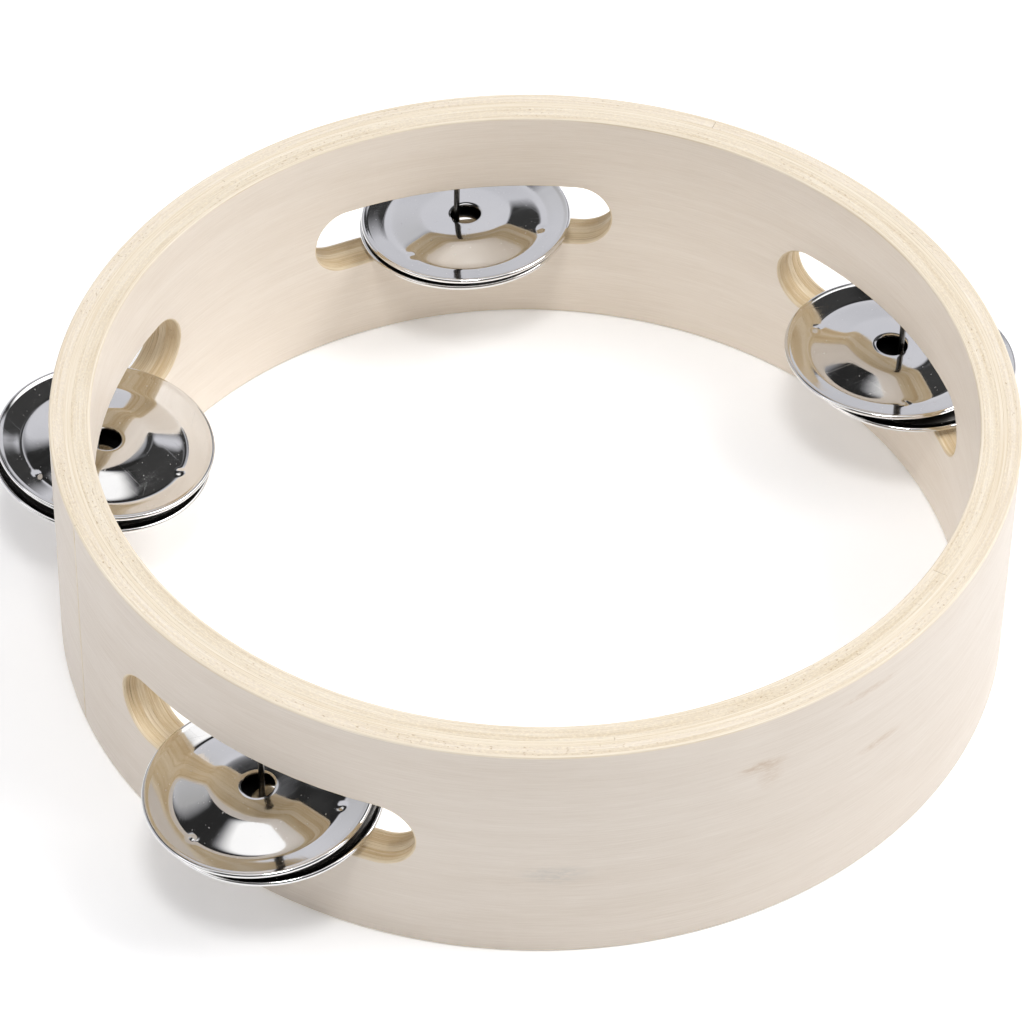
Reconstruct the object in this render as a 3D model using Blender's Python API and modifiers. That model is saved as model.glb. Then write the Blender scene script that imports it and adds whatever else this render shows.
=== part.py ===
"""Wooden tambourine: a bent laminated hoop with four slots, four pins and four jingle pairs.

Units are metres. The hoop stands on its lower edge at z = 0 and its axis is +Z. The plain
stretch that a hand holds faces -Y, and the slots lie evenly to each side of the YZ plane.
"""

import math

import bmesh
import bpy
from mathutils import Quaternion, Vector

# Hoop
OUTER_RADIUS = 0.0750
HOOP_HEIGHT = 0.0420
HOOP_SEGMENTS = 72
EDGE_CHAMFER = 0.0003
VENEER_SET_BACK = 0.0002
GLUE_GAP = 0.0001
SEAM_WIDTH = 0.0003
# Plies from the outside in: name, thickness, direction of the butt seam in degrees, is a veneer
PLIES = (
    ("outer_face_veneer", 0.0005, 158.0, True),
    ("outer_core_ply", 0.0016, 22.5, False),
    ("outer_backing_veneer", 0.0005, 90.0, True),
    ("inner_backing_veneer", 0.0005, 235.0, True),
    ("inner_core_ply", 0.0023, 285.0, False),
    ("inner_face_veneer", 0.0005, 262.0, True),
)

PLIES_DEPTH = sum(ply[1] for ply in PLIES) + (len(PLIES) - 1) * GLUE_GAP

# Slots, cut before the wood was bent, so that their ends point at the hoop's axis. Their length is
# measured round the middle of the wall.
MIDDLE_RADIUS = OUTER_RADIUS - PLIES_DEPTH / 2
SLOT_PITCH_DEG = 67.5
SLOT_LENGTH = 0.0530
SLOT_HEIGHT = 0.0120
SLOT_MIDDLE_Z = 0.0215
SLOT_FLOOR_Z = SLOT_MIDDLE_Z - SLOT_HEIGHT / 2
SLOT_END_SEGMENTS = 8

# Pins, pushed up from the lower edge near the middle of the wall
PIN_RADIUS = 0.0005
PIN_HOLE_RADIUS = 0.0007
PIN_CIRCLE_RADIUS = 0.0713
PIN_BOTTOM_Z = 0.0010
PIN_TOP_Z = 0.0370
PIN_HOLE_TOP_Z = 0.0374
PIN_SIDES = 12

# How far the cutters reach past what they cut
CUTTER_OVERRUN = 0.0010
# Half the depth of a slot's cutter, well over half the wall
SLOT_CUTTER_REACH = 0.0100

SMOOTH_BELOW = math.radians(35.0)

# Jingle: a stamped disc, from its hole outwards as (radius, height) corners of the sheet
JINGLE_RADIUS = 0.0175
JINGLE_DEPTH = 0.0018
JINGLE_HUB_RADIUS = 0.0074
JINGLE_TOP = (
    (0.0026, JINGLE_DEPTH),
    (JINGLE_HUB_RADIUS, JINGLE_DEPTH),
    (0.0129, 0.0004),
    (0.0169, 0.0013),
)
JINGLE_EDGE = ((JINGLE_RADIUS, 0.0010), (0.0171, 0.0006))
JINGLE_UNDERSIDE = ((0.0131, 0.0), (JINGLE_HUB_RADIUS, 0.0014), (0.0026, 0.0014))
JINGLE_STEPS = 36

# A pair lies with its lower jingle turned over, so that the two hubs face away from each other.
# The lower hub is this far over the slot's floor, and the upper jingle as far over the lower one.
JINGLE_GAP = 0.0003
# The wall reaches this far out from the pin
FLOOR_REACH = OUTER_RADIUS - PIN_CIRCLE_RADIUS
# How each pair lies at rest: the lean of its faces, in degrees out from the hoop's axis and
# along the slot, and each jingle's shift from its pin in the same two directions
JINGLE_REST = {
    "front_right": {"lean": (1.9, 1.4), "upper": (-0.00130, 0.00085), "lower": (0.00100, -0.00110)},
    "back_right": {"lean": (3.2, 1.7), "upper": (-0.00050, -0.00150), "lower": (0.00070, -0.00130)},
    "back_left": {"lean": (-6.4, -0.2), "upper": (-0.00156, 0.00032), "lower": (-0.00130, 0.00105)},
    "front_left": {"lean": (3.4, -2.2), "upper": (0.00158, 0.00068), "lower": (0.00055, 0.00155)},
}
STATION_DEG = {
    "front_right": 90.0 - 1.5 * SLOT_PITCH_DEG,
    "back_right": 90.0 - 0.5 * SLOT_PITCH_DEG,
    "back_left": 90.0 + 0.5 * SLOT_PITCH_DEG,
    "front_left": 90.0 + 1.5 * SLOT_PITCH_DEG,
}


def clear_scene():
    for obj in list(bpy.data.objects):
        bpy.data.objects.remove(obj, do_unlink=True)


def make_collection(name):
    collection = bpy.data.collections.new(name)
    bpy.context.scene.collection.children.link(collection)
    return collection


def make_material(name, colour, roughness, metallic):
    material = bpy.data.materials.new(name)
    material.use_nodes = True
    shader = material.node_tree.nodes["Principled BSDF"]
    shader.inputs["Base Color"].default_value = (*colour, 1.0)
    shader.inputs["Roughness"].default_value = roughness
    shader.inputs["Metallic"].default_value = metallic
    return material


def link(obj, collection):
    collection.objects.link(obj)
    return obj


def move_to(obj, collection):
    for owner in list(obj.users_collection):
        owner.objects.unlink(obj)
    return link(obj, collection)


def turned(name, outline, steps, collection):
    """An outline of (radius, z) corners turned about Z. It runs down its outer side."""
    mesh = bpy.data.meshes.new(name)
    points = [(radius, 0.0, z) for radius, z in outline]
    edges = [(i, (i + 1) % len(points)) for i in range(len(points))]
    mesh.from_pydata(points, edges, [])
    obj = link(bpy.data.objects.new(name, mesh), collection)
    screw = obj.modifiers.new("turn", "SCREW")
    screw.steps = steps
    screw.render_steps = steps
    screw.axis = "Z"
    screw.use_merge_vertices = True
    screw.merge_threshold = 0.00001
    screw.use_smooth_shade = True
    return obj


def made_real(obj, name):
    """Replaces an object's mesh with its evaluated shape, shaded smooth."""
    graph = bpy.context.evaluated_depsgraph_get()
    mesh = bpy.data.meshes.new_from_object(obj.evaluated_get(graph))
    mesh.name = name
    obj.modifiers.clear()
    obj.data = mesh
    mesh.shade_smooth()
    mesh.set_sharp_from_angle(angle=SMOOTH_BELOW)
    return obj


def as_cutter(obj):
    obj.hide_render = True
    obj.display_type = "WIRE"
    return obj


def cut(obj, cutter):
    boolean = obj.modifiers.new("cut_" + cutter.name, "BOOLEAN")
    boolean.operation = "DIFFERENCE"
    boolean.object = cutter
    boolean.solver = "EXACT"


def slot_cutter(name, degrees, collection):
    """A bar with two round ends through the wall at this direction, wider the further out it is."""
    curve = bpy.data.curves.new(name, "CURVE")
    curve.dimensions = "2D"
    curve.fill_mode = "BOTH"
    curve.extrude = SLOT_CUTTER_REACH
    spline = curve.splines.new("POLY")
    half = SLOT_LENGTH / 2 - SLOT_HEIGHT / 2
    corners = []
    for side in (1, -1):
        for step in range(SLOT_END_SEGMENTS + 1):
            angle = math.pi * (step / SLOT_END_SEGMENTS - 0.5)
            x = side * (half + SLOT_HEIGHT / 2 * math.cos(angle))
            y = side * SLOT_HEIGHT / 2 * math.sin(angle)
            corners.append((x, y))
    spline.points.add(len(corners) - 1)
    for point, (x, y) in zip(spline.points, corners):
        point.co = (x, y, 0.0, 1.0)
    spline.use_cyclic_u = True
    outline = link(bpy.data.objects.new(name + "_outline", curve), collection)
    graph = bpy.context.evaluated_depsgraph_get()
    mesh = bpy.data.meshes.new_from_object(outline.evaluated_get(graph))
    bpy.data.objects.remove(outline, do_unlink=True)
    weld_caps(mesh)
    for vertex in mesh.vertices:
        out = MIDDLE_RADIUS + vertex.co.z
        vertex.co.x = out * math.tan(vertex.co.x / MIDDLE_RADIUS)
    cutter = link(bpy.data.objects.new(name, mesh), collection)
    turn = math.radians(degrees)
    cutter.rotation_euler = (math.radians(90.0), 0.0, turn + math.radians(90.0))
    cutter.location = (MIDDLE_RADIUS * math.cos(turn), MIDDLE_RADIUS * math.sin(turn), SLOT_MIDDLE_Z)
    return as_cutter(cutter)


def weld_caps(mesh):
    shape = bmesh.new()
    shape.from_mesh(mesh)
    bmesh.ops.remove_doubles(shape, verts=shape.verts, dist=0.000001)
    bmesh.ops.recalc_face_normals(shape, faces=shape.faces)
    shape.to_mesh(mesh)
    shape.free()


def rod(name, radius, bottom, top, degrees, collection):
    """An upright round rod in the middle of the wall at this direction."""
    turn = math.radians(degrees)
    bpy.ops.mesh.primitive_cylinder_add(
        vertices=PIN_SIDES,
        radius=radius,
        depth=top - bottom,
        location=(
            PIN_CIRCLE_RADIUS * math.cos(turn),
            PIN_CIRCLE_RADIUS * math.sin(turn),
            (top + bottom) / 2,
        ),
        rotation=(0.0, 0.0, turn),
    )
    obj = bpy.context.object
    obj.name = name
    obj.data.name = name
    obj.data.shade_smooth()
    obj.data.set_sharp_from_angle(angle=SMOOTH_BELOW)
    return move_to(obj, collection)


def seam_cutter(name, degrees, collection):
    """A thin upright plate across the wall: the gap where a ply's two ends meet."""
    turn = math.radians(degrees)
    bpy.ops.mesh.primitive_cube_add(size=1.0)
    obj = bpy.context.object
    obj.name = name
    wall = PLIES_DEPTH + 2 * CUTTER_OVERRUN
    obj.scale = (wall, SEAM_WIDTH, HOOP_HEIGHT + 2 * CUTTER_OVERRUN)
    obj.location = (
        MIDDLE_RADIUS * math.cos(turn),
        MIDDLE_RADIUS * math.sin(turn),
        HOOP_HEIGHT / 2,
    )
    obj.rotation_euler = (0.0, 0.0, turn)
    return as_cutter(move_to(obj, collection))


def ply_outline(outer, inner, set_back, ease_outer, ease_inner):
    """The upright section of one ply, from its inner top corner round by the outside."""
    out = EDGE_CHAMFER if ease_outer else 0.0
    into = EDGE_CHAMFER if ease_inner else 0.0
    low = set_back
    high = HOOP_HEIGHT - set_back
    corners = [(inner + into, high), (outer - out, high)]
    if ease_outer:
        corners += [(outer, high - out), (outer, low + out)]
    corners += [(outer - out, low), (inner + into, low)]
    if ease_inner:
        corners += [(inner, low + into), (inner, high - into)]
    return corners


def build_hoop(parts, cutters, veneer, core):
    slots = [
        slot_cutter("slot_" + place, degrees, cutters)
        for place, degrees in STATION_DEG.items()
    ]
    holes = [
        as_cutter(
            rod(
                "pin_hole_" + place,
                PIN_HOLE_RADIUS,
                -CUTTER_OVERRUN,
                PIN_HOLE_TOP_Z,
                degrees,
                cutters,
            )
        )
        for place, degrees in STATION_DEG.items()
    ]
    outer = OUTER_RADIUS
    for index, (name, thickness, seam_deg, is_veneer) in enumerate(PLIES):
        inner = outer - thickness
        set_back = VENEER_SET_BACK if is_veneer else 0.0
        last = len(PLIES) - 1
        outline = ply_outline(outer, inner, set_back, index == 0, index == last)
        ply = turned(name, outline, HOOP_SEGMENTS, parts)
        ply.data.materials.append(veneer if is_veneer else core)
        for slot in slots:
            cut(ply, slot)
        near_pin = PIN_CIRCLE_RADIUS - PIN_HOLE_RADIUS < outer
        if near_pin and inner < PIN_CIRCLE_RADIUS + PIN_HOLE_RADIUS:
            for hole in holes:
                cut(ply, hole)
        cut(ply, seam_cutter("seam_" + name, seam_deg, cutters))
        outer = inner - GLUE_GAP


def build_jingle_mesh(collection, nickel):
    outline = [*JINGLE_TOP, *JINGLE_EDGE, *JINGLE_UNDERSIDE]
    pattern = made_real(turned("jingle", outline, JINGLE_STEPS, collection), "jingle")
    mesh = pattern.data
    mesh.materials.append(nickel)
    bpy.data.objects.remove(pattern, do_unlink=True)
    return mesh


def rest_heights(rest, slope):
    """Each jingle's height over the slot's floor, where it just clears what is under it."""
    reach = FLOOR_REACH * abs(slope.x) + JINGLE_HUB_RADIUS * abs(slope.y)
    lower = JINGLE_DEPTH + JINGLE_GAP + reach
    apart = Vector(rest["lower"]) - Vector(rest["upper"])
    upper = lower + JINGLE_GAP * math.sqrt(1.0 + slope.length_squared) + apart.dot(slope)
    return {"lower": lower, "upper": upper}


def build_station(place, degrees, parts, steel, jingle_mesh):
    """One slot's pin and its two loose jingles, which ride on the pin's axis."""
    pin = rod(place + "_pin", PIN_RADIUS, PIN_BOTTOM_Z, PIN_TOP_Z, degrees, parts)
    pin.data.materials.append(steel)
    turn = math.radians(degrees)
    axis = link(bpy.data.objects.new(place + "_pin_axis", None), parts)
    axis.location = (
        PIN_CIRCLE_RADIUS * math.cos(turn),
        PIN_CIRCLE_RADIUS * math.sin(turn),
        SLOT_FLOOR_Z,
    )
    axis.rotation_euler = (0.0, 0.0, turn)
    rest = JINGLE_REST[place]
    slope = Vector([math.tan(math.radians(lean)) for lean in rest["lean"]])
    lean = Vector((0.0, 0.0, 1.0)).rotation_difference((*slope, 1.0))
    turned_over = Quaternion((1.0, 0.0, 0.0), math.pi)
    for level, height in rest_heights(rest, slope).items():
        jingle = link(bpy.data.objects.new(f"{place}_{level}_jingle", jingle_mesh), parts)
        jingle.parent = axis
        jingle.location = (*rest[level], height)
        jingle.rotation_mode = "QUATERNION"
        jingle.rotation_quaternion = lean @ turned_over if level == "lower" else lean


def main():
    clear_scene()
    parts = make_collection("Tambourine")
    cutters = make_collection("Cutters")
    veneer = make_material("birch_veneer", (0.72, 0.64, 0.54), 0.55, 0.0)
    core = make_material("poplar_core", (0.68, 0.55, 0.36), 0.70, 0.0)
    nickel = make_material("nickel_plate", (0.78, 0.77, 0.75), 0.12, 1.0)
    steel = make_material("pin_steel", (0.30, 0.29, 0.28), 0.30, 1.0)
    build_hoop(parts, cutters, veneer, core)
    jingle_mesh = build_jingle_mesh(parts, nickel)
    for place, degrees in STATION_DEG.items():
        build_station(place, degrees, parts, steel, jingle_mesh)


main()
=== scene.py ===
"""Looks of the wooden tambourine: plies, pins, jingles, their materials, the studio and camera."""

import math

import bpy
import bmesh
import numpy as np
from mathutils import Matrix, Vector
from mathutils.geometry import delaunay_2d_cdt


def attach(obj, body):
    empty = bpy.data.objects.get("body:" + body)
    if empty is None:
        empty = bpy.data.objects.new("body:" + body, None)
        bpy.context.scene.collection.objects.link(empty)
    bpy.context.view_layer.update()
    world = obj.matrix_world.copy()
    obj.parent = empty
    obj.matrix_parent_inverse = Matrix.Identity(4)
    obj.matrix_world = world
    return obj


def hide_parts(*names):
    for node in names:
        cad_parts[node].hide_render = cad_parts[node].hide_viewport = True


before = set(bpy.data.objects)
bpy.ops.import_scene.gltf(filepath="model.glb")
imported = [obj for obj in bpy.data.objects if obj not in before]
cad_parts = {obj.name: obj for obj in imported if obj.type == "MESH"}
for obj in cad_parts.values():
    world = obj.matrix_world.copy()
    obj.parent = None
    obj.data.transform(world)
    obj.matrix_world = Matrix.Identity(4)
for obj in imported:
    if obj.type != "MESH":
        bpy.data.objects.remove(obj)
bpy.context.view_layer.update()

# ------------------------------------------------------------------ sizes, in metres
OUTER_RADIUS = 0.0750
HEIGHT = 0.0420
MIDDLE_RADIUS = 0.0718
# node, outer radius, inner radius, seam direction in degrees, easing of the outer and the inner
# edge, is veneer
PLIES = (
    ("outer_face_veneer", 0.07500, 0.07446, 158.0, 0.00028, 0.00004, True),
    ("outer_core_ply", 0.07446, 0.07276, 22.5, 0.00004, 0.00004, False),
    ("outer_backing_veneer", 0.07276, 0.07216, 90.0, 0.00004, 0.00004, True),
    ("inner_backing_veneer", 0.07216, 0.07156, 235.0, 0.00004, 0.00004, True),
    ("inner_core_ply", 0.07156, 0.06916, 285.0, 0.00004, 0.00004, False),
    ("inner_face_veneer", 0.06916, 0.06860, 262.0, 0.00004, 0.00028, True),
)
SEAM_GAP = 0.00006
SLOT_PITCH = 67.5
STATIONS = {
    "front_right": 90.0 - 1.5 * SLOT_PITCH,
    "back_right": 90.0 - 0.5 * SLOT_PITCH,
    "back_left": 90.0 + 0.5 * SLOT_PITCH,
    "front_left": 90.0 + 1.5 * SLOT_PITCH,
}
SLOT_LENGTH = 0.0530
SLOT_HEIGHT = 0.0120
SLOT_Z = 0.0215
SLOT_FLOOR = SLOT_Z - SLOT_HEIGHT / 2
SLOT_END_RADIUS = SLOT_HEIGHT / 2
SLOT_HALF_STRAIGHT = SLOT_LENGTH / 2 - SLOT_END_RADIUS
PIN_CIRCLE = 0.0713
PIN_RADIUS = 0.00048
PIN_BOTTOM = 0.0010
PIN_TOP = 0.0370
PIN_BEVEL = 0.00015
PIN_HOLE_RADIUS = 0.0007
PIN_HOLE_TOP = 0.0374
PIN_HOLE_START = -0.0010
DRILLED_PLIES = ("inner_backing_veneer", "inner_core_ply")
JINGLE_GAP = 0.0003
JINGLE_DEPTH = 0.0018
HUB_RADIUS = 0.0074
# each pair at rest, as in part.py: the lean of its faces in degrees, out from the hoop's axis and
# along the slot, and each jingle's shift from its pin in the same two directions
JINGLE_REST = {
    "front_right": {"lean": (1.9, 1.4), "upper": (-0.00130, 0.00085), "lower": (0.00100, -0.00110)},
    "back_right": {"lean": (3.2, 1.7), "upper": (-0.00050, -0.00150), "lower": (0.00070, -0.00130)},
    "back_left": {"lean": (-6.4, -0.2), "upper": (-0.00156, 0.00032), "lower": (-0.00130, 0.00105)},
    "front_left": {"lean": (3.4, -2.2), "upper": (0.00158, 0.00068), "lower": (0.00055, 0.00155)},
}
# how far each jingle has turned about its own axis, in degrees: it sets where its dimples are
JINGLE_TURN = {
    "front_right": {"upper": 104.0, "lower": 20.0},
    "back_right": {"upper": 107.0, "lower": 70.0},
    "back_left": {"upper": 31.0, "lower": 5.0},
    "front_left": {"upper": 88.0, "lower": 80.0},
}

# Millimetres in a metre
MM = 1000.0

SCENE = bpy.context.scene.collection


def add_object(name, data):
    obj = bpy.data.objects.new(name, data)
    SCENE.objects.link(obj)
    return obj


def mesh_from(shape, name):
    """A new mesh from a bmesh, which is freed."""
    mesh = bpy.data.meshes.new(name)
    shape.to_mesh(mesh)
    shape.free()
    return mesh


def shade(mesh, sharp_degrees):
    mesh.shade_smooth()
    mesh.set_sharp_from_angle(angle=math.radians(sharp_degrees))


def turn_faces_out(mesh):
    shape = bmesh.new()
    shape.from_mesh(mesh)
    bmesh.ops.recalc_face_normals(shape, faces=shape.faces)
    shape.to_mesh(mesh)
    shape.free()


def on_pin_circle(turn, z):
    return (PIN_CIRCLE * math.cos(turn), PIN_CIRCLE * math.sin(turn), z)


# ------------------------------------------------------------------ node helpers
class Tree:
    """A short way to write shader nodes."""

    def __init__(self, tree):
        self.tree = tree

    def add(self, kind, **values):
        node = self.tree.nodes.new(kind)
        for key, value in values.items():
            setattr(node, key, value)
        return node

    def link(self, source, target):
        self.tree.links.new(source, target)

    def put(self, socket, value):
        if isinstance(value, bpy.types.NodeSocket):
            self.link(value, socket)
        else:
            socket.default_value = value

    def math(self, operation, first, second=0.0, third=None):
        node = self.add("ShaderNodeMath", operation=operation)
        self.put(node.inputs[0], first)
        self.put(node.inputs[1], second)
        if third is not None:
            self.put(node.inputs[2], third)
        return node.outputs[0]

    def attribute(self, name):
        return self.add("ShaderNodeAttribute", attribute_name=name)

    def scaled(self, vector, scale, offset=(0.0, 0.0, 0.0)):
        node = self.add("ShaderNodeMapping")
        self.put(node.inputs["Vector"], vector)
        node.inputs["Scale"].default_value = scale
        node.inputs["Location"].default_value = offset
        return node.outputs[0]

    def noise(self, vector, scale=1.0, detail=3.0, rough=0.55, distortion=0.0):
        node = self.add("ShaderNodeTexNoise")
        self.put(node.inputs["Vector"], vector)
        node.inputs["Scale"].default_value = scale
        node.inputs["Detail"].default_value = detail
        node.inputs["Roughness"].default_value = rough
        node.inputs["Distortion"].default_value = distortion
        return node.outputs["Fac"]

    def span(self, value, low, high, to_low=0.0, to_high=1.0):
        node = self.add("ShaderNodeMapRange")
        self.put(node.inputs["Value"], value)
        node.inputs["From Min"].default_value = low
        node.inputs["From Max"].default_value = high
        node.inputs["To Min"].default_value = to_low
        node.inputs["To Max"].default_value = to_high
        return node.outputs["Result"]

    def mix(self, factor, first, second, blend="MIX"):
        node = self.add("ShaderNodeMix", data_type="RGBA", blend_type=blend)
        self.put(node.inputs["Factor"], factor)
        for side, colour in (("A", first), ("B", second)):
            opaque = colour if isinstance(colour, bpy.types.NodeSocket) else (*colour, 1.0)
            self.put(node.inputs[side], opaque)
        return node.outputs["Result"]

    def bump(self, height, distance, strength=1.0, normal=None):
        node = self.add("ShaderNodeBump")
        node.inputs["Strength"].default_value = strength
        node.inputs["Distance"].default_value = distance
        self.put(node.inputs["Height"], height)
        if normal is not None:
            self.put(node.inputs["Normal"], normal)
        return node.outputs["Normal"]


class Nodes(Tree):
    """A new material with one Principled shader."""

    def __init__(self, name):
        self.material = bpy.data.materials.new(name)
        self.material.use_nodes = True
        super().__init__(self.material.node_tree)
        self.tree.nodes.clear()
        self.out = self.add("ShaderNodeOutputMaterial")
        self.shader = self.add("ShaderNodeBsdfPrincipled")
        self.link(self.shader.outputs[0], self.out.inputs["Surface"])


def srgb(red, green, blue):
    """A colour given as 0 to 255 sRGB, in linear light."""
    def one(value):
        value /= 255.0
        return value / 12.92 if value <= 0.04045 else ((value + 0.055) / 1.055) ** 2.4
    return (one(red), one(green), one(blue))


# ------------------------------------------------------------------ wood
# Each ply carries "wood", its own coordinates in millimetres: along the strip, height, and radius;
# and "edge": x is 1 on the upper and lower edges, y is 1 on slot walls.
def spot(nodes, wood, along, height, length, width, soft=0.5):
    """1 inside a small ellipse on the strip at this place, fading to 0 around it."""
    split = nodes.add("ShaderNodeSeparateXYZ")
    nodes.link(wood, split.inputs[0])
    dx = nodes.math("DIVIDE", nodes.math("SUBTRACT", split.outputs[0], along), length)
    dy = nodes.math("DIVIDE", nodes.math("SUBTRACT", split.outputs[1], height), width)
    squares = nodes.math("ADD", nodes.math("MULTIPLY", dx, dx), nodes.math("MULTIPLY", dy, dy))
    far = nodes.math("SQRT", squares)
    return nodes.span(far, 1.0 - soft, 1.0 + soft, 1.0, 0.0)


def veneer_material(name, light, dark, seed, marks=()):
    """Sanded birch face: long fine fibres, short pores and a faint lengthwise figure."""
    n = Nodes(name)
    wood = n.attribute("wood").outputs["Vector"]
    edge = n.add("ShaderNodeSeparateXYZ")
    n.link(n.attribute("edge").outputs["Vector"], edge.inputs[0])
    fibre = n.noise(n.scaled(wood, (0.16, 4.2, 4.2), (seed, 0, 0)), 1.0, 4.0, 0.62)
    broad = n.noise(n.scaled(wood, (0.012, 0.10, 0.10), (0, seed, 0)), 1.0, 2.0, 0.5, 0.6)
    cloud = n.noise(n.scaled(wood, (0.035, 0.05, 0.05), (seed, seed, 0)), 1.0, 2.0, 0.5)
    figure = n.noise(n.scaled(wood, (0.03, 0.8, 0.8), (0, 0, seed)), 1.0, 3.0, 0.55, 0.4)
    pore_field = n.noise(n.scaled(wood, (0.9, 9.0, 9.0), (seed, 3, 1)), 1.0, 2.0, 0.5)
    pores = n.span(pore_field, 0.66, 0.76)
    blend = n.math("ADD", n.math("MULTIPLY", fibre, 0.46), n.math("MULTIPLY", broad, 0.32))
    blend = n.math("ADD", blend, n.math("MULTIPLY", figure, 0.22))
    colour = n.mix(n.span(blend, 0.34, 0.68), light, dark)
    colour = n.mix(n.math("MULTIPLY", pores, 0.22), colour, tuple(0.66 * v for v in dark))
    colour = n.mix(n.span(cloud, 0.35, 0.75, 0.0, 0.35), colour, tuple(1.03 * v for v in light))
    for mark in marks:
        along, height, length, width, strength, tint = mark
        wobble = n.noise(n.scaled(wood, (0.9, 2.5, 2.5), (along, 0, 0)), 1.0, 3.0, 0.6)
        stain = spot(n, wood, along, height, length, width)
        shape = n.math("MULTIPLY", stain, n.span(wobble, 0.30, 0.62))
        colour = n.mix(n.math("MULTIPLY", shape, strength), colour, tint)
    # the veneer's sawn edge is yellower and has its own thin lines
    line = n.noise(n.scaled(wood, (0.045, 0.4, 9.0), (seed, 1, 2)), 1.0, 3.0, 0.6)
    cut = n.mix(n.span(line, 0.35, 0.7), srgb(236, 226, 209), srgb(216, 199, 171))
    wall = n.mix(n.span(line, 0.35, 0.7), srgb(232, 217, 190), srgb(206, 184, 147))
    colour = n.mix(edge.outputs[0], colour, cut)
    colour = n.mix(edge.outputs[1], colour, wall)
    n.link(colour, n.shader.inputs["Base Color"])
    n.link(n.span(fibre, 0.3, 0.7, 0.38, 0.50), n.shader.inputs["Roughness"])
    n.shader.inputs["Specular IOR Level"].default_value = 0.45
    height = n.math("SUBTRACT", n.math("MULTIPLY", fibre, 0.5), n.math("MULTIPLY", pores, 0.6))
    n.link(n.bump(height, 0.00006, 0.55), n.shader.inputs["Normal"])
    return n.material


def core_material(name, light, dark, seed):
    """Cross-banded core: open end grain on its edges, and scorched lines on its slot walls."""
    n = Nodes(name)
    wood = n.attribute("wood").outputs["Vector"]
    edge = n.add("ShaderNodeSeparateXYZ")
    n.link(n.attribute("edge").outputs["Vector"], edge.inputs[0])
    band = n.noise(n.scaled(wood, (0.022, 0.35, 1.5), (seed, 0, 0)), 1.0, 3.0, 0.5, 0.3)
    streak = n.noise(n.scaled(wood, (0.12, 1.2, 5.0), (0, seed, 0)), 1.0, 4.0, 0.62)
    grit = n.noise(n.scaled(wood, (1.6, 2.0, 3.6), (seed, 2, 5)), 1.0, 3.0, 0.6)
    speck_field = n.noise(n.scaled(wood, (1.5, 1.5, 3.0), (seed, 7, 1)), 1.0, 1.0, 0.4)
    speck = n.span(speck_field, 0.64, 0.72)
    patch_field = n.noise(n.scaled(wood, (0.05, 0.05, 0.05), (seed, 4, 4)), 1.0, 1.0, 0.4)
    patch = n.span(patch_field, 0.42, 0.60)
    blend = n.math("ADD", n.math("MULTIPLY", band, 0.5), n.math("MULTIPLY", streak, 0.5))
    colour = n.mix(n.span(blend, 0.36, 0.66), light, dark)
    colour = n.mix(n.math("MULTIPLY", n.span(grit, 0.45, 0.7), 0.35), colour, srgb(255, 243, 214))
    specks = n.math("MULTIPLY", speck, n.math("ADD", n.math("MULTIPLY", patch, 0.42), 0.08))
    colour = n.mix(specks, colour, srgb(166, 128, 72))
    # slot walls: thin lines along the strip, darker where the cutter rubbed
    lines = n.noise(n.scaled(wood, (0.05, 0.10, 6.5), (seed, 9, 3)), 1.0, 4.0, 0.65)
    scorch = n.noise(n.scaled(wood, (0.22, 0.22, 0.5), (seed, 6, 8)), 1.0, 2.0, 0.5)
    wall = n.mix(n.span(lines, 0.34, 0.66), srgb(230, 214, 184), srgb(200, 175, 136))
    wall = n.mix(n.span(scorch, 0.40, 0.75, 0.0, 0.45), wall, srgb(188, 158, 114))
    cracks = n.noise(n.scaled(wood, (0.035, 0.12, 7.5), (seed, 2, 9)), 1.0, 2.0, 0.5, 0.3)
    wall = n.mix(n.span(cracks, 0.655, 0.70, 0.0, 0.75), wall, srgb(112, 78, 44))
    colour = n.mix(edge.outputs[1], colour, wall)
    n.link(colour, n.shader.inputs["Base Color"])
    n.shader.inputs["Roughness"].default_value = 0.66
    n.shader.inputs["Specular IOR Level"].default_value = 0.25
    rough = n.math("SUBTRACT", n.math("MULTIPLY", grit, 0.8), n.math("MULTIPLY", specks, 1.2))
    n.link(n.bump(rough, 0.00016, 0.7), n.shader.inputs["Normal"])
    return n.material


# How finely the plies are divided: along a slot's round end and its straight side, round the hoop
# in degrees, and up the hoop in metres
SLOT_END_STEPS = 22
SLOT_SIDE_STEPS = 10
COLUMN_STEP = 1.5
ROWS = (0.0, 0.006, 0.0115, 0.0155, 0.0185, 0.0215, 0.0245, 0.0275, 0.0315, 0.036, HEIGHT)
# An edge eased by more than this is rounded in three steps, and any other is one small chamfer
EASED_FROM = 0.0001
EASED_STEPS = 3
# Grid points keep this far from a slot's outline
CLEAR_OF_SLOT = 0.0011
# A face counts as inside a slot when its middle is this far within the outline
INSIDE_SLOT = -0.00002
MERGE_DISTANCE = 1e-7
# Edges of a ply that turn by more than this many degrees stay sharp
PLY_SHARP = 40.0


def slot_outline(inset):
    """A slot's outline as (along, height) round its middle, pushed out into the wood by inset."""
    radius = SLOT_END_RADIUS + inset
    points = []
    for side in (1, -1):
        for step in range(SLOT_END_STEPS + 1):
            angle = math.pi * (step / SLOT_END_STEPS - 0.5)
            along = SLOT_HALF_STRAIGHT + radius * math.cos(angle)
            points.append((side * along, side * radius * math.sin(angle)))
        for step in range(1, SLOT_SIDE_STEPS):
            along = SLOT_HALF_STRAIGHT * (1 - 2 * step / SLOT_SIDE_STEPS)
            points.append((side * along, side * radius))
    return points


def wrap(degrees_past_seam, height, radius, seam_deg):
    """A point of the flat strip, bent round to this radius."""
    turn = math.radians(seam_deg + degrees_past_seam)
    return Vector((radius * math.cos(turn), radius * math.sin(turn), height))


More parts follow.
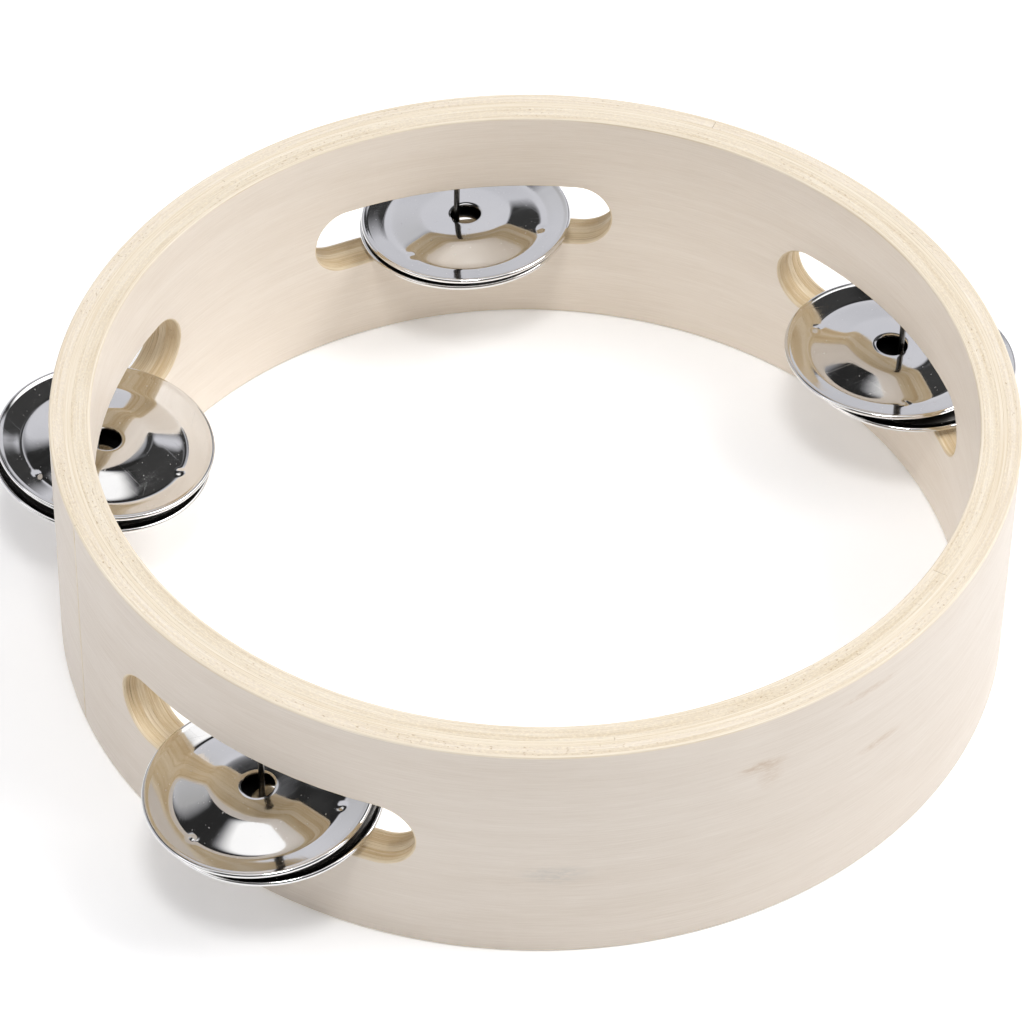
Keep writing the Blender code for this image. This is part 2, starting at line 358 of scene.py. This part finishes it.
def write_vectors(mesh, name, vectors):
    mesh.attributes[name].data.foreach_set("vector", np.array(vectors, np.float32).ravel())


def build_ply(name, outer, inner, seam_deg, outer_edge, inner_edge):
    """One bent strip with its slots: two skins joined by walls, with eased edges."""
    flat = []
    slot_loops = []
    edges = []

    def loop(points):
        first = len(flat)
        flat.extend(points)
        indices = list(range(first, first + len(points)))
        edges.extend(zip(indices, indices[1:] + indices[:1]))
        return indices

    def slot_points(centre, inset):
        return [
            (centre + math.degrees(along / MIDDLE_RADIUS), SLOT_Z + up)
            for along, up in slot_outline(inset)
        ]

    columns = [COLUMN_STEP * i for i in range(round(360 / COLUMN_STEP) + 1)]
    side_rows = ROWS[1:-1]
    outline = [(x, 0.0) for x in columns]
    outline += [(360.0, y) for y in side_rows]
    outline += [(x, HEIGHT) for x in reversed(columns)]
    outline += [(0.0, y) for y in reversed(side_rows)]
    rim = loop(outline)
    for station in STATIONS.values():
        centre = (station - seam_deg) % 360.0
        slot_loops.append((centre, loop(slot_points(centre, 0.0))))

    def near_slot(x, y, margin):
        for centre, _ in slot_loops:
            delta = (x - centre + 180.0) % 360.0 - 180.0
            along = MIDDLE_RADIUS * math.radians(delta)
            past_straight = max(abs(along) - SLOT_HALF_STRAIGHT, 0.0)
            if math.hypot(past_straight, y - SLOT_Z) < SLOT_END_RADIUS + margin:
                return True
        return False

    for x in columns[1:-1]:
        for y in side_rows:
            if not near_slot(x, y, CLEAR_OF_SLOT):
                flat.append((x, y))
    metres = math.radians(1.0) * MIDDLE_RADIUS
    plane = [Vector((x * metres, y)) for x, y in flat]
    faces = delaunay_2d_cdt(plane, edges, [], 0, MERGE_DISTANCE)[2]
    triangles = []
    for face in faces:
        middle = sum((plane[i] for i in face), Vector((0.0, 0.0))) / len(face)
        if not near_slot(middle.x / metres, middle.y, INSIDE_SLOT):
            triangles.append(tuple(face))

    def placed(inset, radius):
        """Every flat point on this radius, with the edges pulled in by inset."""
        spots = list(flat)
        gap = math.degrees((SEAM_GAP / 2 + inset) / MIDDLE_RADIUS)
        for i in rim:
            x, y = spots[i]
            x = min(max(x, gap), 360.0 - gap)
            spots[i] = (x, min(max(y, inset), HEIGHT - inset))
        for centre, indices in slot_loops:
            for i, spot_on_slot in zip(indices, slot_points(centre, inset)):
                spots[i] = spot_on_slot
        bent = [wrap(x, y, radius, seam_deg) for x, y in spots]
        strip = [((x + seam_deg) * metres * MM, y * MM, radius * MM) for x, y in spots]
        return bent, strip

    points, wood, polygons, kinds = [], [], [], []

    def add_skin(inset, radius, flip):
        base = len(points)
        bent, strip = placed(inset, radius)
        points.extend(bent)
        wood.extend(strip)
        for a, b, c in triangles:
            if flip:
                b, c = c, b
            polygons.append((base + a, base + b, base + c))
            kinds.append((0.0, 0.0))
        return base

    outer_base = add_skin(outer_edge, outer, False)
    inner_base = add_skin(inner_edge, inner, True)

    def add_ring(indices, inset, radius):
        base = len(points)
        bent, strip = placed(inset, radius)
        for i in indices:
            points.append(bent[i])
            wood.append(strip[i])
        return [base + k for k in range(len(indices))]

    def stitch(indices, outward, kind):
        """Walls from the outer skin's edge round to the inner skin's edge."""
        steps = EASED_STEPS if max(outer_edge, inner_edge) > EASED_FROM else 1
        angles = [math.pi / 2 * step / steps for step in range(1, steps + 1)]
        rings = [[outer_base + i for i in indices]]
        for angle in angles:
            inset = outer_edge * (1 - math.sin(angle))
            rings.append(add_ring(indices, inset, outer - outer_edge * (1 - math.cos(angle))))
        rings.append(add_ring(indices, 0.0, inner + inner_edge))
        for angle in reversed(angles[:-1]):
            inset = inner_edge * (1 - math.sin(angle))
            rings.append(add_ring(indices, inset, inner + inner_edge * (1 - math.cos(angle))))
        rings.append([inner_base + i for i in indices])
        count = len(indices)
        for near, far in zip(rings, rings[1:]):
            for k in range(count):
                a, b = near[k], near[(k + 1) % count]
                c, d = far[(k + 1) % count], far[k]
                polygons.append((a, d, c, b) if outward else (a, b, c, d))
                kinds.append(kind)

    stitch(rim, True, (1.0, 0.0))
    for _, indices in slot_loops:
        stitch(indices, False, (0.0, 1.0))
    mesh = bpy.data.meshes.new(name + "_wood")
    mesh.from_pydata(points, [], polygons)
    mesh.attributes.new("wood", "FLOAT_VECTOR", "POINT")
    write_vectors(mesh, "wood", wood)
    mesh.attributes.new("edge", "FLOAT_VECTOR", "FACE")
    write_vectors(mesh, "edge", [(*kind, 0.0) for kind in kinds])
    turn_faces_out(mesh)
    shade(mesh, PLY_SHARP)
    return mesh


def drill_pin_holes(piece, seam_deg):
    """Cuts the pins' holes from the lower edge up, and gives each point its place on the strip."""
    shape = bmesh.new()
    middle = (PIN_HOLE_START + PIN_HOLE_TOP) / 2
    for degrees in STATIONS.values():
        bmesh.ops.create_cone(
            shape,
            cap_ends=True,
            segments=24,
            radius1=PIN_HOLE_RADIUS,
            radius2=PIN_HOLE_RADIUS,
            depth=PIN_HOLE_TOP - PIN_HOLE_START,
            matrix=Matrix.Translation(on_pin_circle(math.radians(degrees), middle)),
        )
    cutter = add_object("pin_hole_cutter", mesh_from(shape, "pin_hole_cutter"))
    boolean = piece.modifiers.new("pin_holes", "BOOLEAN")
    boolean.object = cutter
    graph = bpy.context.evaluated_depsgraph_get()
    drilled = bpy.data.meshes.new_from_object(
        piece.evaluated_get(graph), preserve_all_data_layers=True, depsgraph=graph
    )
    piece.modifiers.clear()
    piece.data = drilled
    bpy.data.objects.remove(cutter)
    seam = math.radians(seam_deg)
    wood = []
    for vertex in drilled.vertices:
        x, y, z = vertex.co
        turn = (math.atan2(y, x) - seam) % math.tau + seam
        wood.append((turn * MIDDLE_RADIUS * MM, z * MM, math.hypot(x, y) * MM))
    write_vectors(drilled, "wood", wood)
    shade(drilled, PLY_SHARP)


FACE_LIGHT = srgb(227, 217, 205)
FACE_DARK = srgb(211, 198, 183)
INSIDE_LIGHT = srgb(238, 228, 215)
INSIDE_DARK = srgb(224, 211, 195)
OUTER_CORE = (srgb(232, 222, 208), srgb(211, 195, 170))
INNER_CORE = (srgb(230, 220, 204), srgb(208, 191, 164))


def at(degrees, height):
    """The strip coordinates of a place on the hoop's face."""
    return math.radians(degrees) * MIDDLE_RADIUS * MM, height * MM


TAN = srgb(176, 140, 100)
BLUE = srgb(150, 160, 165)
# Faint stains on the outer face: place, half length and half width in millimetres, strength, tint
OUTER_MARKS = (
    (*at(252.2, 0.0326), 3.2, 0.9, 0.45, TAN),
    (*at(253.4, 0.0300), 1.6, 2.2, 0.25, TAN),
    (*at(266.9, 0.0378), 4.5, 0.6, 0.30, TAN),
    (*at(269.4, 0.0249), 3.5, 0.7, 0.40, TAN),
    (*at(228.4, 0.0169), 4.0, 1.6, 0.22, BLUE),
)


def build_wood():
    face = (FACE_LIGHT, FACE_DARK)
    inside = (INSIDE_LIGHT, INSIDE_DARK)
    materials = {
        "outer_face_veneer": veneer_material("birch_outer", *face, 3.1, OUTER_MARKS),
        "inner_face_veneer": veneer_material("birch_inner", *inside, 8.7),
        "outer_backing_veneer": veneer_material("birch_backing_outer", *inside, 5.2),
        "inner_backing_veneer": veneer_material("birch_backing_inner", *inside, 6.6),
        "outer_core_ply": core_material("poplar_outer", *OUTER_CORE, 2.3),
        "inner_core_ply": core_material("poplar_inner", *INNER_CORE, 7.9),
    }
    for name, outer, inner, seam_deg, outer_edge, inner_edge, is_veneer in PLIES:
        mesh = build_ply(name, outer, inner, seam_deg, outer_edge, inner_edge)
        piece = add_object(name + "_piece", mesh)
        mesh.materials.append(materials[name])
        if name in DRILLED_PLIES:
            drill_pin_holes(piece, seam_deg)
        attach(piece, "hoop")
        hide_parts(name)


# ------------------------------------------------------------------ metal
def nickel_material(name, seed):
    """Bright nickel plate: hairline scratches, faint smears, specks of dust, and a rougher
    underside darkened as painted shade.
    """
    n = Nodes(name)
    place = n.add("ShaderNodeTexCoord").outputs["Object"]
    soft = n.noise(n.scaled(place, (90, 90, 90), (seed, 0, 0)), 1.0, 2.0, 0.5)
    smear = n.noise(n.scaled(place, (240, 900, 240), (0, seed, 0)), 1.0, 3.0, 0.6)
    hairs = None
    for turn, stretch in ((0.4, (60, 5200, 60)), (1.5, (70, 6400, 70)), (2.5, (50, 5600, 50))):
        turned = n.add("ShaderNodeMapping")
        n.put(turned.inputs["Vector"], place)
        turned.inputs["Rotation"].default_value = (0.0, 0.0, turn)
        field = n.noise(n.scaled(turned.outputs[0], stretch, (seed, turn, 0)), 1.0, 1.0, 0.4)
        hair = n.span(field, 0.70, 0.78)
        hairs = hair if hairs is None else n.math("MAXIMUM", hairs, hair)
    dust_field = n.noise(n.scaled(place, (3200, 3200, 3200), (seed, 5, 5)), 1.0, 0.0, 0.4)
    dust = n.span(dust_field, 0.830, 0.845)
    colour = n.mix(n.span(soft, 0.3, 0.7), (0.74, 0.735, 0.73), (0.80, 0.79, 0.775))
    colour = n.mix(n.math("MULTIPLY", dust, 0.5), colour, (0.9, 0.88, 0.85))
    # painted shade: the underside's colour is darkened to stand in for the dim gap between the two
    # jingles of a pair; it is also made rougher
    under = n.attribute("under").outputs["Fac"]
    colour = n.mix(under, colour, (0.15, 0.145, 0.14))
    n.link(colour, n.shader.inputs["Base Color"])
    n.shader.inputs["Metallic"].default_value = 1.0
    gloss = n.math("ADD", n.span(smear, 0.35, 0.75, 0.045, 0.11), n.math("MULTIPLY", hairs, 0.08))
    gloss = n.math("ADD", gloss, n.math("MULTIPLY", dust, 0.3))
    gloss = n.math("ADD", gloss, n.math("MULTIPLY", under, 0.25))
    n.link(gloss, n.shader.inputs["Roughness"])
    wave = n.bump(soft, 0.0002, 0.10)
    n.link(n.bump(hairs, 0.00001, 0.10, wave), n.shader.inputs["Normal"])
    return n.material


def pin_material():
    """Drawn steel wire, dark, with fine rings and a trace of rust."""
    n = Nodes("pin_steel")
    place = n.add("ShaderNodeTexCoord").outputs["Object"]
    rings = n.noise(n.scaled(place, (200, 200, 4200)), 1.0, 2.0, 0.5)
    rust = n.span(n.noise(n.scaled(place, (900, 900, 260)), 1.0, 3.0, 0.6), 0.62, 0.74)
    colour = n.mix(n.span(rings, 0.3, 0.7), (0.055, 0.053, 0.052), (0.10, 0.097, 0.093))
    colour = n.mix(n.math("MULTIPLY", rust, 0.35), colour, (0.09, 0.045, 0.02))
    n.link(colour, n.shader.inputs["Base Color"])
    n.shader.inputs["Metallic"].default_value = 1.0
    n.link(n.span(rings, 0.3, 0.7, 0.24, 0.38), n.shader.inputs["Roughness"])
    n.link(n.bump(rings, 0.00003, 0.3), n.shader.inputs["Normal"])
    return n.material


RIM_RADIUS = 0.0175
# upper surface of the sheet as (radius, height)
JINGLE_CURVE = (
    (0.0026, 0.00168),
    (0.0028, 0.00178),
    (0.0038, 0.00180),
    (0.0058, 0.00180),
    (0.0068, 0.00176),
    (0.0076, 0.00164),
    (0.0090, 0.00130),
    (0.0106, 0.00090),
    (0.0120, 0.00056),
    (0.0127, 0.00042),
    (0.0131, 0.00038),
    (0.0135, 0.00042),
    (0.0144, 0.00064),
    (0.0156, 0.00092),
    (0.0166, 0.00116),
)
SHEET = 0.00036
BEAD_RADIUS = 0.00040
BEAD_HEIGHT = 0.00098
DIMPLE_CIRCLE = 0.0131
DIMPLE_RADIUS = 0.00066
DIMPLE_HEIGHT = 0.00032
# A dimple falls off as a bell curve, which is cut off at this many times its radius
DIMPLE_FALL = 1.6
DIMPLE_REACH = 2.2
DIMPLES = 3
DIMPLE_TURN = 0.35
# Points along the sheet's upper side, its lower side, its bead, and round the disc
TOP_SAMPLES = 46
UNDER_SAMPLES = 24
BEAD_STEPS = 9
JINGLE_STEPS = 168
# Where the bead's points begin and how far apart they are, in degrees round the bead
BEAD_START = 112.0
BEAD_STEP = 26.5
# A slow wave in the pressed sheet, never quite true: waves round the disc, height, phase
SHEET_WAVES = ((2, 0.00003, 0.7), (3, 0.000018, 2.0))
CURVE_STEPS = 24
# Edges of metal pieces that turn by more than this many degrees stay sharp
METAL_SHARP = 50.0


def smooth_curve(points, samples):
    """Points evenly along a Catmull-Rom curve through these points."""
    dense = []
    count = len(points)
    for i in range(count - 1):
        p0 = Vector(points[max(i - 1, 0)])
        p1 = Vector(points[i])
        p2 = Vector(points[i + 1])
        p3 = Vector(points[min(i + 2, count - 1)])
        for k in range(CURVE_STEPS):
            t = k / CURVE_STEPS
            dense.append(
                0.5 * ((2 * p1) + (p2 - p0) * t + (2 * p0 - 5 * p1 + 4 * p2 - p3) * t * t
                       + (3 * p1 - p0 - 3 * p2 + p3) * t ** 3)
            )
    dense.append(Vector(points[-1]))
    lengths = [0.0]
    for a, b in zip(dense, dense[1:]):
        lengths.append(lengths[-1] + (b - a).length)
    xs = np.interp(np.linspace(0, lengths[-1], samples), lengths, [p.x for p in dense])
    ys = np.interp(np.linspace(0, lengths[-1], samples), lengths, [p.y for p in dense])
    return list(zip(xs, ys))


def jingle_mesh():
    """A stamped disc: flat hub, sloping wall, valley with dimples, rising ring, rolled rim."""
    top = smooth_curve(JINGLE_CURVE, TOP_SAMPLES)
    bead = BEAD_RADIUS
    centre = (RIM_RADIUS - bead, BEAD_HEIGHT)
    rim = []
    for step in range(BEAD_STEPS):
        angle = math.radians(BEAD_START - step * BEAD_STEP)
        rim.append((centre[0] + bead * math.cos(angle), centre[1] + bead * math.sin(angle)))
    under = [(r, z - SHEET) for r, z in smooth_curve(JINGLE_CURVE, UNDER_SAMPLES)][::-1]
    outline = top + rim + under
    total = len(outline)
    points = []
    for step in range(JINGLE_STEPS):
        turn = 2 * math.pi * step / JINGLE_STEPS
        for r, z in outline:
            points.append([r * math.cos(turn), r * math.sin(turn), z])
    points = np.array(points)
    for k in range(DIMPLES):
        turn = 2 * math.pi * k / DIMPLES + DIMPLE_TURN
        x = DIMPLE_CIRCLE * math.cos(turn)
        y = DIMPLE_CIRCLE * math.sin(turn)
        far = np.hypot(points[:, 0] - x, points[:, 1] - y) / DIMPLE_RADIUS
        points[:, 2] += DIMPLE_HEIGHT * np.exp(-(far ** 2) * DIMPLE_FALL) * (far < DIMPLE_REACH)
    angle = np.arctan2(points[:, 1], points[:, 0])
    radius = np.hypot(points[:, 0], points[:, 1]) / RIM_RADIUS
    for waves, wave_height, phase in SHEET_WAVES:
        points[:, 2] += radius ** 2 * wave_height * np.sin(waves * angle + phase)
    polygons = []
    for step in range(JINGLE_STEPS):
        here = step * total
        there = ((step + 1) % JINGLE_STEPS) * total
        for k in range(total):
            nxt = (k + 1) % total
            polygons.append((here + k, here + nxt, there + nxt, there + k))
    mesh = bpy.data.meshes.new("jingle_disc")
    mesh.from_pydata(points.tolist(), [], polygons)
    # 1 on the underside of the sheet, which gets painted shade: a dark, rougher finish standing in
    # for the dim gap between the pair
    painted_shade_underside = np.tile(np.arange(total) > len(top) + len(rim), JINGLE_STEPS)
    mark = mesh.attributes.new("under", "FLOAT", "POINT")
    mark.data.foreach_set("value", painted_shade_underside.astype(np.float32))
    turn_faces_out(mesh)
    shade(mesh, METAL_SHARP)
    return mesh


def rest_heights(rest, slope):
    """Each jingle's height over the slot's floor, where it just clears what is under it."""
    reach = (OUTER_RADIUS - PIN_CIRCLE) * abs(slope.x) + HUB_RADIUS * abs(slope.y)
    lower = JINGLE_DEPTH + JINGLE_GAP + reach
    apart = Vector(rest["lower"]) - Vector(rest["upper"])
    upper = lower + JINGLE_GAP * math.sqrt(1.0 + slope.length_squared) + apart.dot(slope)
    return {"lower": lower, "upper": upper}


def build_jingles():
    disc = jingle_mesh()
    for index, (place, degrees) in enumerate(STATIONS.items()):
        turn = math.radians(degrees)
        axis = Matrix.Translation(on_pin_circle(turn, SLOT_FLOOR)) @ Matrix.Rotation(turn, 4, "Z")
        rest = JINGLE_REST[place]
        slope = Vector([math.tan(math.radians(lean)) for lean in rest["lean"]])
        lean = Vector((0.0, 0.0, 1.0)).rotation_difference((*slope, 1.0)).to_matrix().to_4x4()
        for level, height in rest_heights(rest, slope).items():
            node = f"{place}_{level}_jingle"
            mesh = disc.copy()
            mesh.name = node + "_disc"
            over = Matrix.Rotation(math.pi if level == "lower" else 0.0, 4, "X")
            spin = Matrix.Rotation(math.radians(JINGLE_TURN[place][level]), 4, "Z")
            mesh.transform(axis @ Matrix.Translation((*rest[level], height)) @ lean @ over @ spin)
            piece = add_object(node + "_disc", mesh)
            seed = 3.0 * index + (level == "upper")
            mesh.materials.append(nickel_material(node + "_nickel", seed))
            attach(piece, node)
            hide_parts(node)


def build_pins():
    material = pin_material()
    for place, degrees in STATIONS.items():
        shape = bmesh.new()
        bmesh.ops.create_cone(
            shape,
            cap_ends=True,
            segments=28,
            radius1=PIN_RADIUS,
            radius2=PIN_RADIUS,
            depth=PIN_TOP - PIN_BOTTOM,
        )
        level = [e for e in shape.edges if abs(e.verts[0].co.z - e.verts[1].co.z) < 1e-6]
        bmesh.ops.bevel(shape, geom=level, offset=PIN_BEVEL, segments=2, affect="EDGES")
        mesh = mesh_from(shape, place + "_pin_wire")
        shade(mesh, METAL_SHARP)
        mesh.materials.append(material)
        piece = add_object(place + "_pin_wire", mesh)
        piece.location = on_pin_circle(math.radians(degrees), (PIN_TOP + PIN_BOTTOM) / 2)
        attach(piece, "hoop")
        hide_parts(place + "_pin")


# ------------------------------------------------------------------ studio
# The floor is lit from below as well, like a light table
FLOOR_GLOW = 0.17
FLOOR_HALF_SIZE = 3.0
# The floor lies this far under the hoop's lower edge
FLOOR_DROP = 0.0002


def build_floor():
    n = Nodes("studio_paper")
    place = n.add("ShaderNodeTexCoord").outputs["Object"]
    grain = n.noise(n.scaled(place, (900, 900, 900)), 1.0, 2.0, 0.5)
    colour = n.mix(n.span(grain, 0.3, 0.7), (0.93, 0.93, 0.93), (0.95, 0.95, 0.95))
    n.link(colour, n.shader.inputs["Base Color"])
    n.shader.inputs["Roughness"].default_value = 0.8
    n.shader.inputs["Specular IOR Level"].default_value = 0.1
    n.shader.inputs["Emission Color"].default_value = (1.0, 1.0, 1.0, 1.0)
    n.shader.inputs["Emission Strength"].default_value = FLOOR_GLOW
    shape = bmesh.new()
    bmesh.ops.create_grid(shape, x_segments=4, y_segments=4, size=FLOOR_HALF_SIZE)
    mesh = mesh_from(shape, "studio_floor")
    mesh.materials.append(n.material)
    floor = add_object("studio_floor", mesh)
    floor.location = (0.0, 0.0, -FLOOR_DROP)


# The point that the lights face
LIT_MIDDLE = Vector((0.0, 0.0, 0.02))


def soft_box(name, azimuth, elevation, distance, size, power):
    """A rectangular area light that shines at the hoop, from a direction given in degrees."""
    light = bpy.data.lights.new(name, "AREA")
    light.shape = "RECTANGLE"
    light.size, light.size_y = size
    light.energy = power
    obj = add_object(name, light)
    az = math.radians(azimuth)
    el = math.radians(elevation)
    way = Vector((math.cos(az) * math.cos(el), math.sin(az) * math.cos(el), math.sin(el)))
    obj.location = way * distance + LIT_MIDDLE
    obj.rotation_euler = way.to_track_quat("Z", "Y").to_euler()


# Parts of the studio that the metal mirrors, as seen from the hoop: middle and half width of the
# bearing, in degrees to the left of straight away from the camera, then of the height angle, the
# softness of the edges in degrees, which is halved for the upper and lower ones, and the brightness
STUDIO_PARTS = (
    ("left_wall", 46.0, 16.0, 22.0, 26.0, 12.0, 0.48),
    ("roof_box", 0.0, 200.0, 84.0, 20.0, 3.0, 1.25),
    ("dark_gap", 8.0, 62.0, 55.5, 9.5, 7.0, 0.025),
    ("dark_post", -18.5, 6.0, 34.0, 14.0, 2.0, 0.045),
    ("dark_corner", -36.0, 12.0, 48.0, 12.0, 3.0, 0.05),
    ("right_box", -68.0, 20.0, 50.0, 22.0, 3.0, 2.10),
    ("dark_room", 180.0, 70.0, 52.0, 12.0, 10.0, 0.10),
    ("camera_side", 180.0, 62.0, 14.0, 30.0, 14.0, 0.10),
)
STUDIO_WALL = (0.74, 0.745, 0.80)
# How much of its brightness the wall keeps at floor level, and the height angle of its full value
WALL_FOOT = 0.82
WALL_FULL_AT = 30.0
# The bearing in degrees that is straight away from the camera
LOOK_BEARING = 45.33


def build_world():
    world = bpy.data.worlds.new("studio")
    bpy.context.scene.world = world
    world.use_nodes = True
    n = Tree(world.node_tree)
    background = world.node_tree.nodes["Background"]
    way = n.add("ShaderNodeSeparateXYZ")
    turned = n.add("ShaderNodeMapping")
    n.link(n.add("ShaderNodeTexCoord").outputs["Generated"], turned.inputs["Vector"])
    turned.inputs["Rotation"].default_value = (0.0, 0.0, -math.radians(LOOK_BEARING))
    n.link(turned.outputs[0], way.inputs[0])
    bearing = n.math("DEGREES", n.math("ARCTAN2", way.outputs[1], way.outputs[0]))
    rise = n.math("DEGREES", n.math("ARCSINE", n.math("MINIMUM", way.outputs[2], 1.0)))
    foot = tuple(WALL_FOOT * v for v in STUDIO_WALL)
    colour = n.mix(n.span(rise, 0.0, WALL_FULL_AT), foot, STUDIO_WALL)
    for _, middle, half, height, half_height, soft, bright in STUDIO_PARTS:
        # the shortest way round from the part's middle
        off = n.math("WRAP", n.math("SUBTRACT", bearing, middle), 180.0, -180.0)
        side = n.span(n.math("ABSOLUTE", off), half - soft, half + soft, 1.0, 0.0)
        off_height = n.math("ABSOLUTE", n.math("SUBTRACT", rise, height))
        level = n.span(off_height, half_height - soft / 2, half_height + soft / 2, 1.0, 0.0)
        colour = n.mix(n.math("MULTIPLY", side, level), colour, (bright, bright, bright * 1.01))
    n.link(colour, background.inputs["Color"])
    background.inputs["Strength"].default_value = 1.0


# The camera stands at the front left and looks down at the hoop through a long lens.
CAMERA_PLACE = (-0.41263, -0.41263, 0.58318)
CAMERA_LOOK = (0.505269, 0.511103, -0.695325)
CAMERA_ROLL = 1.0577
CAMERA_LENS = 181.30
SENSOR_WIDTH = 36.0


def build_camera():
    data = bpy.data.cameras.new("camera")
    data.lens = CAMERA_LENS
    data.sensor_width = SENSOR_WIDTH
    data.clip_start = 0.01
    camera = add_object("camera", data)
    turn = Vector(CAMERA_LOOK).to_track_quat("-Z", "Y").to_matrix().to_4x4()
    roll = Matrix.Rotation(math.radians(CAMERA_ROLL), 4, "Z")
    camera.matrix_world = Matrix.Translation(CAMERA_PLACE) @ turn @ roll
    bpy.context.scene.camera = camera


build_wood()
build_pins()
build_jingles()
build_floor()
build_world()
soft_box("key", -44.0, 50.0, 1.3, (0.6, 0.6), 6.6)
soft_box("fill", 165.0, 32.0, 1.6, (0.8, 0.6), 2.0)
soft_box("top", 225.0, 70.0, 1.2, (0.25, 0.25), 4.0)
build_camera()
bpy.context.scene.view_settings.view_transform = "Standard"
